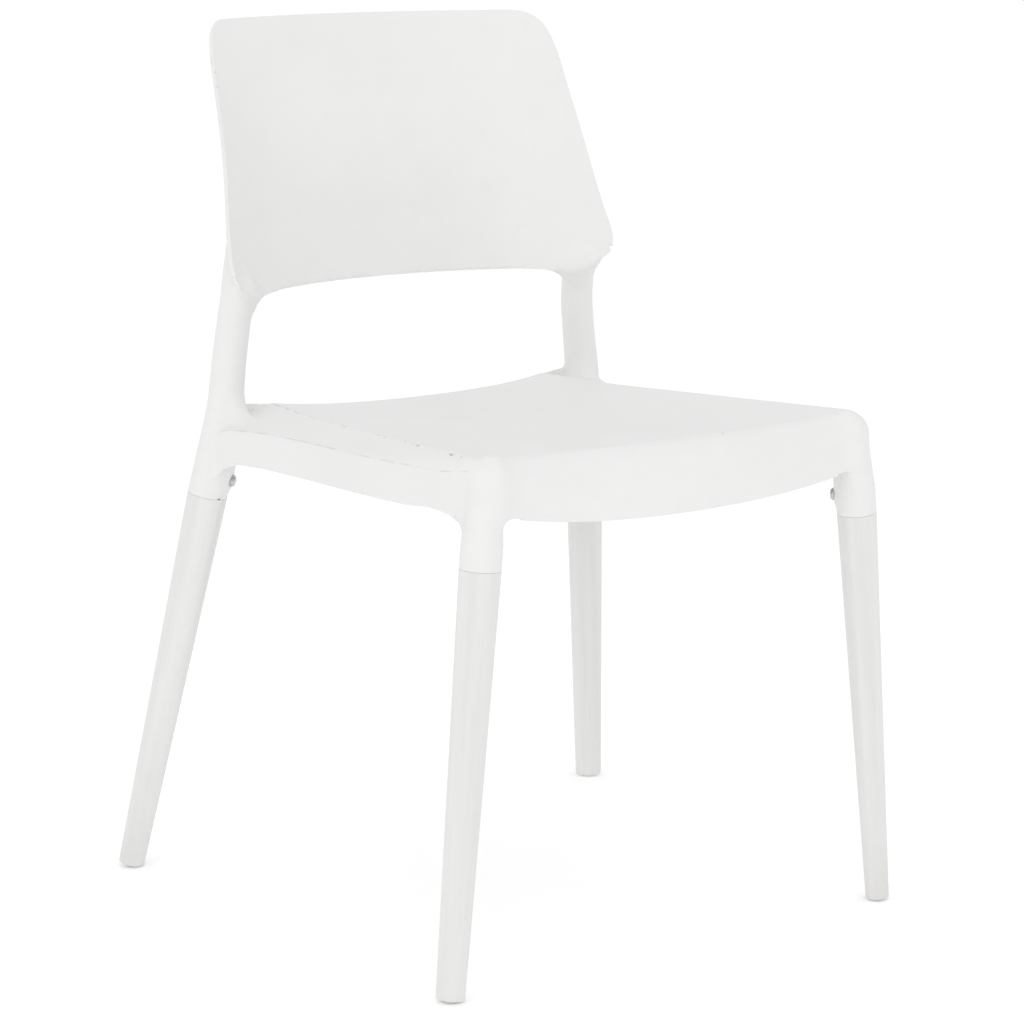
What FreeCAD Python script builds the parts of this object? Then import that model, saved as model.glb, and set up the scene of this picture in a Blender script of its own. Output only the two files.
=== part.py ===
import FreeCAD, Part
import math
import os
import Sketcher

# White stacking chair. +Z is up, the front faces -Y, X = 0 is the plane of symmetry.
# The origin is on the floor, at the centre of the whole chair's outline.
# One moulded frame carries the backrest, the posts, the rails and the four sockets.
# A dished seat pan drops into it, and four tapered legs plug into the sockets.

doc = FreeCAD.newDocument("stacking_chair")
sheet = doc.addObject("Spreadsheet::Sheet", "sizes")

SIZES = {
    # legs: axis points at the end of the wood and at the joint with the socket
    "front_foot_x": 238.2, "front_foot_y": -249.3,
    "front_joint_x": 205.3, "front_joint_y": -247.2, "front_joint_z": 365.5,
    "rear_foot_x": 271.1, "rear_foot_y": 238.3,
    "rear_joint_x": 216.8, "rear_joint_y": 176.1, "rear_joint_z": 363.3,
    "front_foot_rise": 2.8, "rear_foot_rise": 3.6,
    "front_top_dia": 35.5, "front_foot_wide": 25.0, "front_foot_deep": 21.4,
    "rear_top_dia": 37.0, "rear_foot_wide": 26.4, "rear_foot_deep": 24.2,
    # tenon, socket, leg screw and the threaded insert that it turns into
    "tenon_dia": 25.0, "tenon_long": 40.0, "tenon_slack": 0.3,
    "screw_rise": 18.0, "screw_dia": 6.0, "screw_head_dia": 11.5, "screw_head_tall": 3.4,
    "screw_long": 22.0, "insert_dia": 10.0, "insert_long": 16.0, "insert_sunk": 1.5,
    "hole_slack": 0.15,
    "column_tall": 90.0, "pad_wide": 13.0, "pad_proud": 1.2, "pad_start": 8.0, "pad_tall": 42.0,
    "hole_start": 4.0, "hole_long": 40.0,
    # glides under the feet
    "glide_dia": 17.0, "glide_proud": 3.0, "glide_sunk": 1.5, "glide_edge": 2.0,
    "glide_stem_dia": 6.0, "glide_stem_long": 12.0,
    # backrest
    "back_top_z": 794.5, "back_low_z": 547.0, "back_top_y": 263.0, "back_low_y": 203.5,
    "back_top_bend": 350.0, "back_low_bend": 305.0, "back_thick": 5.0,
    "back_top_half": 190.0, "ear_half": 214.5, "ear_z": 588.0, "back_corner": 25.0,
    "back_sag": 3.0,
    "ear_corner": 30.0, "window_corner": 32.0, "window_half": 179.0,
    # seat, its rolled edges and the rails below them
    "wall": 4.0, "pan_thick": 4.0, "pan_gap": 0.3, "ledge_wide": 14.0, "ledge_drop": 8.0,
    "ledge_thick": 3.5,
    "crest_front_y": -243.0, "crest_front_half": 207.4, "crest_front_z": 457.5,
    "crest_taper": 0.135, "crest_slope": 0.041, "corner_lift": 3.5,
    "dish_deep": 10.0, "front_dip": 5.0, "rear_dip": 4.0,
    "front_face_y": -261.0, "front_roll": 18.0, "skirt_low_mid": 392.0, "skirt_low_end": 406.0,
    "rear_edge_mid": 150.0, "rear_edge_end": 168.0, "rear_roll": 12.0, "apron_tall": 34.0,
    "rail_half_front": 217.5, "rail_half_rear": 221.0,
    "rear_edge_half": 184.0, "apron_half": 188.0, "rail_rear_y": 165.0,
    "web_front_y": 110.0, "web_half": 214.0, "web_drop": 1.5,
    # blanks that shape the pan and trim the sockets and the glides
    "prism_base_z": 380.0, "prism_tall": 120.0, "trim_wide": 60.0, "trim_tall": 30.0,
    # seat screws, up through the ledge into bosses under the pan
    "seat_screw_dia": 4.0, "seat_screw_head_dia": 8.0, "seat_screw_head_tall": 2.6,
    "seat_screw_grip": 6.5, "seat_screw_drop": 0.2, "boss_dia": 9.0,
}

for row, (alias, value) in enumerate(SIZES.items(), start=1):
    sheet.set("A%d" % row, alias)
    sheet.set("B%d" % row, str(value))
    sheet.setAlias("B%d" % row, alias)
doc.recompute()


def size(alias):
    return float(sheet.get(alias))


V = FreeCAD.Vector
UP = V(0, 0, 1)
SIDES = {"left": -1, "right": 1}
ENDS = ("front", "rear")


# ---------------------------------------------------------------- helpers

def bind(obj, **expressions):
    for prop, expression in expressions.items():
        obj.setExpression(prop, expression)


def cylinder(name, radius, height):
    obj = doc.addObject("Part::Cylinder", name)
    bind(obj, Radius=radius, Height=height)
    return obj


def cut(name, base, tool):
    obj = doc.addObject("Part::Cut", name)
    obj.Base = base
    obj.Tool = tool
    return obj


def fuse(name, shapes):
    obj = doc.addObject("Part::MultiFuse", name)
    obj.Shapes = shapes
    return obj


def coded(name, shape):
    obj = doc.addObject("Part::Feature", name)
    obj.Shape = shape
    return obj


def wire(points):
    return Part.makePolygon(list(points) + [points[0]])


def spline(points):
    curve = Part.BSplineCurve()
    curve.interpolate(points)
    return curve.toShape()


def mirror_x(shape):
    return shape.mirror(V(0, 0, 0), V(1, 0, 0))


def frame_at(point, axis, toward):
    """Placement with local Z along axis and local X as near as can be to toward."""
    z = V(axis).normalize()
    x = V(toward) - z * z.dot(V(toward))
    x.normalize()
    y = z.cross(x)
    rotation = FreeCAD.Rotation(x, y, z, "ZXY")
    return FreeCAD.Placement(point, rotation)


# ---------------------------------------------------------------- leg axes

def leg_frame(end, side):
    """Leg placement: origin at the foot's end, +Z up the leg, +X to the chair's centre."""
    sign = SIDES[side]
    foot = V(sign * size(end + "_foot_x"), size(end + "_foot_y"), size(end + "_foot_rise"))
    joint = V(sign * size(end + "_joint_x"), size(end + "_joint_y"), size(end + "_joint_z"))
    inward = V(-sign, 1 if end == "front" else -1, 0)
    return frame_at(foot, joint - foot, inward), (joint - foot).Length


LEG_LONG = {end: leg_frame(end, "right")[1] for end in ENDS}


def at_screw(end, side, radial):
    """Placement on the leg screw's axis, local Z pointing out of the screw's head."""
    placement, long = leg_frame(end, side)
    local = FreeCAD.Placement(V(radial, 0, long + size("screw_rise")), FreeCAD.Rotation(V(0, 1, 0), 90))
    return placement.multiply(local)


# ---------------------------------------------------------------- seat surface

def crest_half(y):
    """Half width of the seat pan at depth y."""
    return size("crest_front_half") - size("crest_taper") * (y - size("crest_front_y"))


def crest_z(y):
    """Height of the seat pan's side edge at depth y."""
    return size("crest_front_z") - size("crest_slope") * (y - size("crest_front_y"))


def dip(y):
    """How far the middle of the seat lies below its side edges at depth y."""
    front = size("crest_front_y")
    rear = size("rear_edge_mid")
    along = (y - front) / (rear - front)
    ends = size("front_dip") * (1 - along) + size("rear_dip") * along
    return ends + (size("dish_deep") - ends) * max(0.0, 1 - (2 * along - 1) ** 2)


def seat_z(x, y):
    return crest_z(y) - dip(y) * (1 - (x / crest_half(y)) ** 2)


def rear_edge_y(x):
    """Depth of the pan's rear edge, which is hollow in plan."""
    middle = size("rear_edge_mid")
    return middle + (size("rear_edge_end") - middle) * (x / size("rear_edge_half")) ** 2


def pan_corner():
    """Plan point where the opening's right side meets its rear edge."""
    y = size("rear_edge_end")
    for _ in range(4):
        y = rear_edge_y(crest_half(y))
    return V(crest_half(y), y, 0)


# ---------------------------------------------------------------- frame pieces

def back_panel():
    """Bent, leaning backrest: a ruled band between two arcs, trimmed to its outline."""
    thick = size("back_thick")
    low = size("back_low_z")
    top = size("back_top_z")

    def band(z):
        along = (z - low) / (top - low)
        deep = size("back_low_y") + (size("back_top_y") - size("back_low_y")) * along
        deep -= size("back_sag") * max(0.0, 1 - (2 * along - 1) ** 2)
        bend = size("back_low_bend") + (size("back_top_bend") - size("back_low_bend")) * along
        half = size("ear_half") + 10

        def arc(radius):
            drop = radius - math.sqrt(radius ** 2 - half ** 2)
            ends = deep + (radius - bend) - drop
            middle = V(0, deep + (radius - bend), z)
            return Part.Arc(V(-half, ends, z), middle, V(half, ends, z)).toShape()

        front = arc(bend)
        back = arc(bend + thick)
        left = Part.makeLine(front.Vertexes[0].Point, back.Vertexes[0].Point)
        right = Part.makeLine(front.Vertexes[-1].Point, back.Vertexes[-1].Point)
        return Part.Wire(Part.__sortEdges__([front, right, back, left]))

    levels = [low - 20, low + 0.25 * (top - low), (low + top) / 2, top - 0.25 * (top - low), top + 10]
    sheet_solid = Part.makeLoft([band(z) for z in levels], True, False)
    return sheet_solid.common(back_outline())


def back_outline():
    """Prism of the backrest seen from the front, with rounded top corners and ears."""
    half = size("back_top_half")
    top = size("back_top_z")
    low = size("back_low_z")
    ear = size("ear_half")
    ear_z = size("ear_z")
    inner = size("window_half")
    right = [
        V(half - size("back_corner"), 0, top),
        V(half, 0, top - size("back_corner")),
        V(ear, 0, ear_z),
        V(ear - 0.25 * size("ear_corner"), 0, ear_z - 0.8 * size("ear_corner")),
        V(inner + 4, 0, low - 2),
        V(inner - size("window_corner"), 0, low),
    ]
    top_mid = half - size("back_corner") * (1 - math.sqrt(0.5))
    top_mid_z = top - size("back_corner") * (1 - math.sqrt(0.5))
    edges = []
    for sign in (1, -1):
        p = [V(sign * q.x, 0, q.z) for q in right]
        edges.append(Part.Arc(p[0], V(sign * top_mid, 0, top_mid_z), p[1]).toShape())
        edges += [Part.makeLine(p[i], p[i + 1]) for i in range(1, len(p) - 1)]
    edges.append(Part.makeLine(V(-right[0].x, 0, top), V(right[0].x, 0, top)))
    edges.append(Part.makeLine(V(-right[-1].x, 0, low), V(right[-1].x, 0, low)))
    outline = Part.Wire(Part.__sortEdges__(edges))
    return Part.Face(outline).extrude(V(0, 400, 0))


def post():
    """Right post: round sections from the rear socket up into the back of the panel."""
    joint = V(size("rear_joint_x"), size("rear_joint_y"), size("rear_joint_z"))
    foot = V(size("rear_foot_x"), size("rear_foot_y"), size("rear_foot_rise"))
    lean = (joint - foot).normalize()
    stations = [
        (joint, size("rear_top_dia") / 2, lean),
        (V(210.3, 168.6, 405), 17.6, lean),
        (V(203.9, 163.4, 447), 16.8, V(-0.13, -0.04, 1)),
        (V(199.4, 163.2, 485), 16.0, V(-0.1, 0, 1)),
        (V(195.8, 162.3, 520), 15.2, V(-0.08, 0.02, 1)),
        (V(194.8, 159.8, 552), 13.2, V(-0.05, 0.1, 1)),
        (V(195.3, 156.3, 590), 8.6, V(-0.04, 0.16, 1)),
        (V(190.0, 170.5, 645), 4.0, V(-0.05, 0.24, 1)),
    ]
    wires = []
    for point, radius, normal in stations:
        wires.append(Part.Wire(Part.makeCircle(radius, point, normal)))
    return Part.makeLoft(wires, True, False)


def front_column():
    """Right front column: from the leg joint up to the rounded corner of the seat."""
    joint = V(size("front_joint_x"), size("front_joint_y"), size("front_joint_z"))
    foot = V(size("front_foot_x"), size("front_foot_y"), size("front_foot_rise"))
    lean = (joint - foot).normalize()
    radius = size("front_top_dia") / 2
    column = Part.makeCylinder(radius, size("column_tall"), joint, lean)
    top_edge = max(column.Edges, key=lambda edge: edge.BoundBox.ZMin)
    return column.makeFillet(radius * 0.96, [top_edge])


def rolled_section(place, outer, low, roll_low, crest, crest_height):
    """Closed section of a rail: outer wall, rolled shoulder, step and ledge.

    place maps (across, height) to space. outer and crest are distances across,
    and the shoulder runs from the wall's top at roll_low to crest_height.
    """
    wall = size("wall") if outer > crest else -size("wall")
    inward = -size("ledge_wide") if outer > crest else size("ledge_wide")
    ledge = crest_height - size("ledge_drop")
    under = ledge - size("ledge_thick")
    bend = V(crest + 0.62 * (outer - crest), crest_height - 0.42 * (crest_height - roll_low), 0)
    shoulder = spline([place(outer, roll_low), place(bend.x, bend.y), place(crest, crest_height)])
    rest = [
        place(crest, crest_height),
        place(crest, ledge),
        place(crest + inward, ledge),
        place(crest + inward, under),
        place(crest + 0.15 * (outer - crest), under),
        place(outer - wall, min(roll_low - 3, under)),
        place(outer - wall, low),
        place(outer, low),
        place(outer, roll_low),
    ]
    edges = [shoulder]
    for here, there in zip(rest, rest[1:]):
        edges.append(Part.makeLine(here, there))
    return Part.Wire(edges)


def side_rail():
    """Right side rail: its lower edge flares into the post and into the front column."""
    stations = [
        # depth, lower edge, mould line where the wall turns into the shoulder
        (165, 378, 424), (140, 392, 428), (118, 399, 431), (85, 402, 434), (20, 404, 437),
        (-80, 405, 438.5), (-150, 406.5, 441), (-212, 409, 444), (-226, 406, 446), (-238, 392, 447.5),
    ]
    wires = []
    for depth, low, line in stations:
        along = (depth - size("crest_front_y")) / (size("rail_rear_y") - size("crest_front_y"))
        outer = size("rail_half_front") + (size("rail_half_rear") - size("rail_half_front")) * along
        wires.append(rolled_section(lambda a, z: V(a, depth, z), outer, low, line,
                                    crest_half(depth), crest_z(depth)))
    return Part.makeLoft(wires, True, True)


def front_skirt():
    """Front skirt: rolled from the seat's front edge, bellied along its lower edge."""
    wires = []
    half = size("crest_front_half") - 10
    for step in range(-4, 5):
        x = half * step / 4.0
        share = (x / half) ** 2
        low = size("skirt_low_mid") + (size("skirt_low_end") - size("skirt_low_mid")) * share
        height = seat_z(x, size("crest_front_y"))
        wires.append(rolled_section(lambda a, z: V(x, a, z), size("front_face_y") + 3 * share, low,
                                    height - size("front_roll"), size("crest_front_y"), height))
    return Part.makeLoft(wires, True, True)


def rear_apron():
    """Cross rail between the posts, rolled down from the seat's rear edge."""
    wires = []
    half = size("apron_half")
    for step in range(-4, 5):
        x = half * step / 4.0
        edge = rear_edge_y(x)
        height = seat_z(min(abs(x), crest_half(edge)), edge) + size("corner_lift") * (x / half) ** 4
        wires.append(rolled_section(lambda a, z: V(x, a, z), edge + size("rear_roll"),
                                    height - size("apron_tall"), height - size("rear_roll"),
                                    edge, height))
    return Part.makeLoft(wires, True, True)


def corner_web():
    """Right rear corner between the pan's corner, the post and the apron."""
    y = size("rear_edge_end")
    front = size("web_front_y")
    outer = size("web_half")
    corner = pan_corner()
    plan = [(crest_half(front), front), (outer, front), (outer, y - 6), (corner.x - 3, y), (corner.x, corner.y)]
    low = crest_z(y) - size("web_drop") - size("wall")
    face = Part.Face(wire([V(x, depth, low) for x, depth in plan]))
    return face.extrude(UP * size("wall"))


def screw_pad(side):
    """Flat pad on a socket's inner side, under the leg screw's head."""
    pads = []
    for end in ENDS:
        placement, long = leg_frame(end, side)
        radius = size(end + "_top_dia") / 2
        deep = radius + size("pad_proud")
        start = V(0, -size("pad_wide") / 2, long + size("pad_start"))
        pad = Part.makeBox(deep, size("pad_wide"), size("pad_tall"), start)
        pad.Placement = placement.multiply(pad.Placement)
        pads.append(pad)
    return pads


# ---------------------------------------------------------------- frame moulding

right_side = [post(), front_column(), side_rail(), corner_web()]
pieces = [back_panel(), front_skirt(), rear_apron()] + right_side
pieces += [mirror_x(shape) for shape in right_side]
for side in SIDES:
    pieces += screw_pad(side)
blank = coded("frame_blank", pieces[0].multiFuse(pieces[1:]))

frame_tools = []
for end in ENDS:
    for side in SIDES:
        tag = end + "_" + side
        placement, long = leg_frame(end, side)
        bore = cylinder("socket_" + tag, "(sizes.tenon_dia + sizes.tenon_slack) / 2",
                        "sizes.tenon_long + 7")
        bore.Placement = placement.multiply(FreeCAD.Placement(V(0, 0, long - 5), FreeCAD.Rotation()))
        wide = size("trim_wide")
        tall = size("trim_tall")
        trim = Part.makeBox(wide, wide, tall, V(-wide / 2, -wide / 2, long - tall))
        trim.Placement = placement.multiply(trim.Placement)
        below = coded("below_" + tag, trim)
        hole = cylinder("screw_hole_" + tag, "sizes.screw_dia / 2 + sizes.hole_slack", "sizes.hole_long")
        hole.Placement = at_screw(end, side, size("hole_start"))
        frame_tools += [bore, hole, below]


# ---------------------------------------------------------------- seat screws

SCREW_DEPTHS = {"front": -205.0, "middle": -50.0, "rear": 100.0}


def seat_screw_point(where, side):
    """Point on the ledge's underside where a seat screw's head bears."""
    depth = SCREW_DEPTHS[where]
    x = crest_half(depth) - size("ledge_wide") / 2
    under = crest_z(depth) - size("ledge_drop") - size("ledge_thick") - size("seat_screw_drop")
    return V(SIDES[side] * x, depth, under)


for side in SIDES:
    for where in SCREW_DEPTHS:
        hole = cylinder("seat_hole_%s_%s" % (where, side), "sizes.seat_screw_dia / 2 + sizes.hole_slack",
                        "sizes.ledge_thick + 6")
        hole.Placement.Base = seat_screw_point(where, side) - UP * 3
        frame_tools.append(hole)

chair_frame = cut("chair_frame", blank, fuse("frame_cutters", frame_tools))
chair_frame.Label = "chair_frame"


# ---------------------------------------------------------------- seat pan

def pan_outline():
    """Prism of the pan in plan: straight tapering sides, hollow rear edge, square front."""
    gap = size("pan_gap")
    base = size("prism_base_z")
    corner = pan_corner() + V(-gap, -gap, base)
    front = size("crest_front_y") + gap
    front_right = V(crest_half(front) - gap, front, base)
    front_left = V(-front_right.x, front, base)
    rear_left = V(-corner.x, corner.y, base)
    middle = V(0, size("rear_edge_mid") - gap, base)
    rear = Part.Arc(rear_left, middle, corner).toShape()
    sides = [
        Part.makeLine(corner, front_right),
        Part.makeLine(front_right, front_left),
        Part.makeLine(front_left, rear_left),
    ]
    return Part.Face(Part.Wire([rear] + sides)).extrude(UP * size("prism_tall"))


def dished_slab():
    """Slab whose top is the seat surface, a little larger than the pan."""
    rows = []
    for i in range(9):
        y = size("crest_front_y") - 6 + i * 55.0
        rows.append([V(x, y, seat_z(x, y)) for x in (-215, -140, -70, 0, 70, 140, 215)])
    surface = Part.BSplineSurface()
    surface.interpolate(rows)
    return surface.toShape().extrude(UP * -size("pan_thick"))


pan_tools = []
pan_bosses = []
for side in SIDES:
    for where in SCREW_DEPTHS:
        point = seat_screw_point(where, side)
        rise = size("ledge_thick") + 0.5
        tall = seat_z(point.x, point.y) - size("pan_thick") / 2 - point.z - rise
        boss = Part.makeCylinder(size("boss_dia") / 2, tall, point + UP * rise, UP)
        pan_bosses.append(boss)
        bore = cylinder("boss_bore_%s_%s" % (where, side), "sizes.seat_screw_dia / 2 + sizes.hole_slack",
                        "sizes.seat_screw_grip + 1")
        bore.Placement.Base = point
        pan_tools.append(bore)

slab = dished_slab().common(pan_outline())
pan_blank = coded("pan_blank", slab.multiFuse(pan_bosses))
column_tools = []
for side in SIDES:
    for shape in (front_column(), post()):
        grown = shape if side == "right" else mirror_x(shape)
        column_tools.append(grown)
pan_relief = coded("pan_relief", column_tools[0].multiFuse(column_tools[1:]))
pan_body = cut("pan_body", cut("pan_trimmed", pan_blank, pan_relief), fuse("pan_cutters", pan_tools))
pan_body.Label = "seat_pan"

nodes = [chair_frame, pan_body]


# ---------------------------------------------------------------- turned sub-parts

def body_with_sketch(label, role):
    body = doc.addObject("PartDesign::Body", label + "_body")
    body.Label = label
    sketch = body.newObject("Sketcher::SketchObject", label + "_sketch")
    plane = [item for item in body.Origin.OriginFeatures if item.Role == role][0]
    sketch.AttachmentSupport = [(plane, "")]
    sketch.MapMode = "FlatFace"
    return body, sketch


def revolved(label, outline):
    """Body turned about its own Z axis from (radius, height) pairs of cell expressions."""
    body, sketch = body_with_sketch(label, "XZ_Plane")
    start = [V(i + 1.0, i * 1.5, 0) for i in range(len(outline))]
    count = len(outline)
    for i in range(count):
        sketch.addGeometry(Part.LineSegment(start[i], start[(i + 1) % count]), False)
    for i in range(count):
        sketch.addConstraint(Sketcher.Constraint("Coincident", i, 2, (i + 1) % count, 1))
    for i, (radius, height) in enumerate(outline):
        for kind, expression in (("DistanceX", radius), ("DistanceY", height)):
            index = sketch.addConstraint(Sketcher.Constraint(kind, -1, 1, i, 1, 1.0))
            sketch.setExpression("Constraints[%d]" % index, expression)
    turn = body.newObject("PartDesign::Revolution", label + "_turn")
    turn.Profile = sketch
    turn.ReferenceAxis = (sketch, ["V_Axis"])
    turn.Angle = 360
    body.Tip = turn
    return body


def leg(end, side):
    """Tapered leg: round at the joint, oval at the foot, with a tenon and a cross-bored insert hole."""
    tag = end + "_" + side
    placement, long = leg_frame(end, side)
    foot = doc.addObject("Part::Ellipse", "foot_oval_" + tag)
    bind(foot, MajorRadius="sizes.%s_foot_wide / 2" % end, MinorRadius="sizes.%s_foot_deep / 2" % end)
    foot.Placement.Rotation = FreeCAD.Rotation(UP, 90)
    top = doc.addObject("Part::Circle", "top_round_" + tag)
    bind(top, Radius="sizes.%s_top_dia / 2" % end)
    top.Placement.Base = V(0, 0, long)
    taper = doc.addObject("Part::Loft", "taper_" + tag)
    taper.Sections = [foot, top]
    taper.Solid = True
    taper.Ruled = True
    tenon = cylinder("tenon_" + tag, "sizes.tenon_dia / 2", "sizes.tenon_long + 1")
    tenon.Placement.Base = V(0, 0, long - 1)
    insert_hole = cylinder("insert_hole_" + tag, "sizes.insert_dia / 2", "sizes.tenon_dia")
    insert_hole.Placement = FreeCAD.Placement(V(size("tenon_dia") / 2 + 5, 0, long + size("screw_rise")),
                                              FreeCAD.Rotation(V(0, 1, 0), -90))
    bind(insert_hole, Height="sizes.insert_long + sizes.insert_sunk + 5")
    recess = cylinder("stem_hole_" + tag, "sizes.glide_stem_dia / 2", "sizes.glide_stem_long")
    seat = cylinder("glide_recess_" + tag, "sizes.glide_dia / 2", "sizes.glide_sunk")
    whole = cut("leg_cut_" + tag, fuse("leg_blank_" + tag, [taper, tenon]),
                fuse("leg_cutters_" + tag, [insert_hole, recess, seat]))
    whole.Label = "leg_" + tag
    whole.Placement = placement
    return whole


for end in ENDS:
    for side in SIDES:
        nodes.append(leg(end, side))

for end in ENDS:
    for side in SIDES:
        tag = end + "_" + side
        insert = revolved("leg_insert_" + tag, [
            ("sizes.screw_dia / 2", "0"), ("sizes.insert_dia / 2", "0"),
            ("sizes.insert_dia / 2", "sizes.insert_long"), ("sizes.screw_dia / 2", "sizes.insert_long")])
        inner_end = size("tenon_dia") / 2 - size("insert_sunk") - size("insert_long")
        insert.Placement = at_screw(end, side, inner_end)
        nodes.append(insert)

for end in ENDS:
    for side in SIDES:
        tag = end + "_" + side
        bearing = size(end + "_top_dia") / 2 + size("pad_proud")
        head = "sizes.screw_head_dia / 2"
        screw = revolved("leg_screw_" + tag, [
            ("0", "-sizes.screw_long"), ("sizes.screw_dia / 2", "-sizes.screw_long"),
            ("sizes.screw_dia / 2", "0"), (head, "0"), (head, "sizes.screw_head_tall * 0.45"),
            (head + " * 0.72", "sizes.screw_head_tall"), ("0", "sizes.screw_head_tall")])
        screw.Placement = at_screw(end, side, bearing)
        nodes.append(screw)

for end in ENDS:
    for side in SIDES:
        tag = end + "_" + side
        blank = revolved("glide_blank_" + tag, [
            ("0", "-sizes.glide_proud"),
            ("sizes.glide_dia / 2 - sizes.glide_edge", "-sizes.glide_proud"),
            ("sizes.glide_dia / 2", "-0.4"), ("sizes.glide_dia / 2", "sizes.glide_sunk"),
            ("sizes.glide_stem_dia / 2", "sizes.glide_sunk"),
            ("sizes.glide_stem_dia / 2", "sizes.glide_stem_long"), ("0", "sizes.glide_stem_long")])
        blank.Placement = leg_frame(end, side)[0]
        floor = doc.addObject("Part::Box", "floor_" + tag)
        bind(floor, Length="sizes.trim_wide", Width="sizes.trim_wide", Height="sizes.trim_tall")
        foot = blank.Placement.Base
        half = size("trim_wide") / 2
        floor.Placement.Base = V(foot.x - half, foot.y - half, -size("trim_tall"))
        glide = cut("glide_" + tag, blank, floor)
        glide.Label = "glide_" + tag
        nodes.append(glide)

for side in SIDES:
    for where in SCREW_DEPTHS:
        head = "sizes.seat_screw_head_dia / 2"
        screw = revolved("seat_screw_%s_%s" % (where, side), [
            ("0", "-sizes.seat_screw_head_tall"), (head + " * 0.7", "-sizes.seat_screw_head_tall"),
            (head, "-sizes.seat_screw_head_tall * 0.5"), (head, "0"), ("sizes.seat_screw_dia / 2", "0"),
            ("sizes.seat_screw_dia / 2", "sizes.seat_screw_grip"), ("0", "sizes.seat_screw_grip")])
        screw.Placement.Base = seat_screw_point(where, side)
        nodes.append(screw)


# ---------------------------------------------------------------- checks and files

doc.recompute()
for obj in doc.Objects:
    if "Invalid" in obj.State or "Error" in obj.State:
        raise RuntimeError("%s did not build: %s" % (obj.Name, obj.State))
os.makedirs("parts", exist_ok=True)
for node in nodes:
    if node.Shape.isNull() or not node.Shape.isValid():
        raise RuntimeError("%s has no valid shape" % node.Label)
for node in nodes:
    node.Shape.exportStep("parts/%s.step" % node.Label)
    box = node.Shape.BoundBox
    print("%-24s %9.0f mm3  z %.1f to %.1f  solids %d"
          % (node.Label, node.Shape.Volume, box.ZMin, box.ZMax, len(node.Shape.Solids)))
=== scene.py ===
import math

import bpy
import numpy as np
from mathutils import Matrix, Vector


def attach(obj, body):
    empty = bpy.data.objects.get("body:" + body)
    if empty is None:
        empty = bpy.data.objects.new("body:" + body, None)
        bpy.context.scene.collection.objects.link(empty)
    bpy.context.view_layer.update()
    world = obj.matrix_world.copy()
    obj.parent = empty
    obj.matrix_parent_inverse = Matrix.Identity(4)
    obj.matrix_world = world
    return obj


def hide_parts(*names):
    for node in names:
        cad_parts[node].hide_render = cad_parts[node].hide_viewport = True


# White stacking chair on a pale floor. The chair's lengths are in millimetres until a mesh is made.
# +Z is up and the seat's front faces -Y. X = 0 is the plane of symmetry.

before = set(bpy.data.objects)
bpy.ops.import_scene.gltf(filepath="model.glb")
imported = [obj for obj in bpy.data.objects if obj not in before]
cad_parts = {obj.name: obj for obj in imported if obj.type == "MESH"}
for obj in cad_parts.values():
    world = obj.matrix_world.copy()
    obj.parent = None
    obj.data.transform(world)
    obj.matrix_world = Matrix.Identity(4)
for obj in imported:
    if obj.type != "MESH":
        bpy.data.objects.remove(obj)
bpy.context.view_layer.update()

MM = 0.001
ENDS = ("front", "rear")
SIDES = {"left": -1, "right": 1}

# ---------------------------------------------------------------- sizes

FOOT = {"front": (238.2, -249.3, 2.8), "rear": (271.1, 238.3, 3.6)}
JOINT = {"front": (205.3, -247.2, 365.5), "rear": (216.8, 176.1, 363.3)}
TOP_DIA = {"front": 35.5, "rear": 37.0}
JOINT_GAP = 0.2
PAD_WIDE = 13.0
PAD_PROUD = 1.2
PAD_MIDDLE = 27
PAD_HALF_TALL = 19

CREST_FRONT_Y = -243.0
CREST_FRONT_HALF = 207.4
CREST_FRONT_Z = 457.5
CREST_TAPER = 0.135
CREST_SLOPE = 0.041
CREST_CORNER = 13.0
SKIRT_WIDE = 18.0
SKIRT_HALF = 197.4
RAIL_HALF_FRONT = 217.5
RAIL_SPREAD = 3.5
RAIL_LONG = 408
REAR_EDGE_MID = 150.0
REAR_EDGE_RISE = 18.0
REAR_EDGE_HALF = 184.0
DISH_DEEP = 10.0
FRONT_DIP = 5.0
REAR_DIP = 4.0
PAN_CORNER_RISE = 7.0
PAN_CORNER_HALF = 188
APRON_ROLL = 12.0
APRON_TALL = 34.0
PAN_THICK = 4.0
PAN_GAP = 0.12
WALL = 4.0
LEDGE_WIDE = 14.0
LEDGE_DROP = 8.0
LEDGE_THICK = 3.5

BACK_LOW_Z = 547.0
BACK_TOP_Z = 794.5
BACK_RIM_Z = 794.2
BACK_THICK = 5.0
BACK_LOW_Y = 203.5
BACK_LEAN = 59.5
BACK_SLOPE_SQUARED = 0.06
BACK_LOW_BEND = 305
BACK_MORE_BEND = 45
BACK_CORNER = 27.0
BACK_CORNER_X = 163
BACK_EDGE_ROUND = 0.2

# Mesh of the frame moulding: cell size, spacing of points on sharp curves, how many cells around a
# rim's point are searched for a vertex, how many cells away that may be, and how deep in the
# material (in mm) a curve's point may lie
VOXEL = 2.8
CURVE_STEP = 0.2
SNAP_CELLS = 2
SNAP_FAR = 2.3
SNAP_DEPTH = 0.3
CORNERS = [(i, j, k) for i in (0, 1) for j in (0, 1) for k in (0, 1)]

# The mould line, a bump with painted shade along it, is marked only along the chair's sides, and
# NO_LINE stands for anywhere else
LINE_SIDE = 190
LINE_FRONT_Y = -240
LINE_REAR_Y = 158
NO_LINE = 9.0
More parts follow.
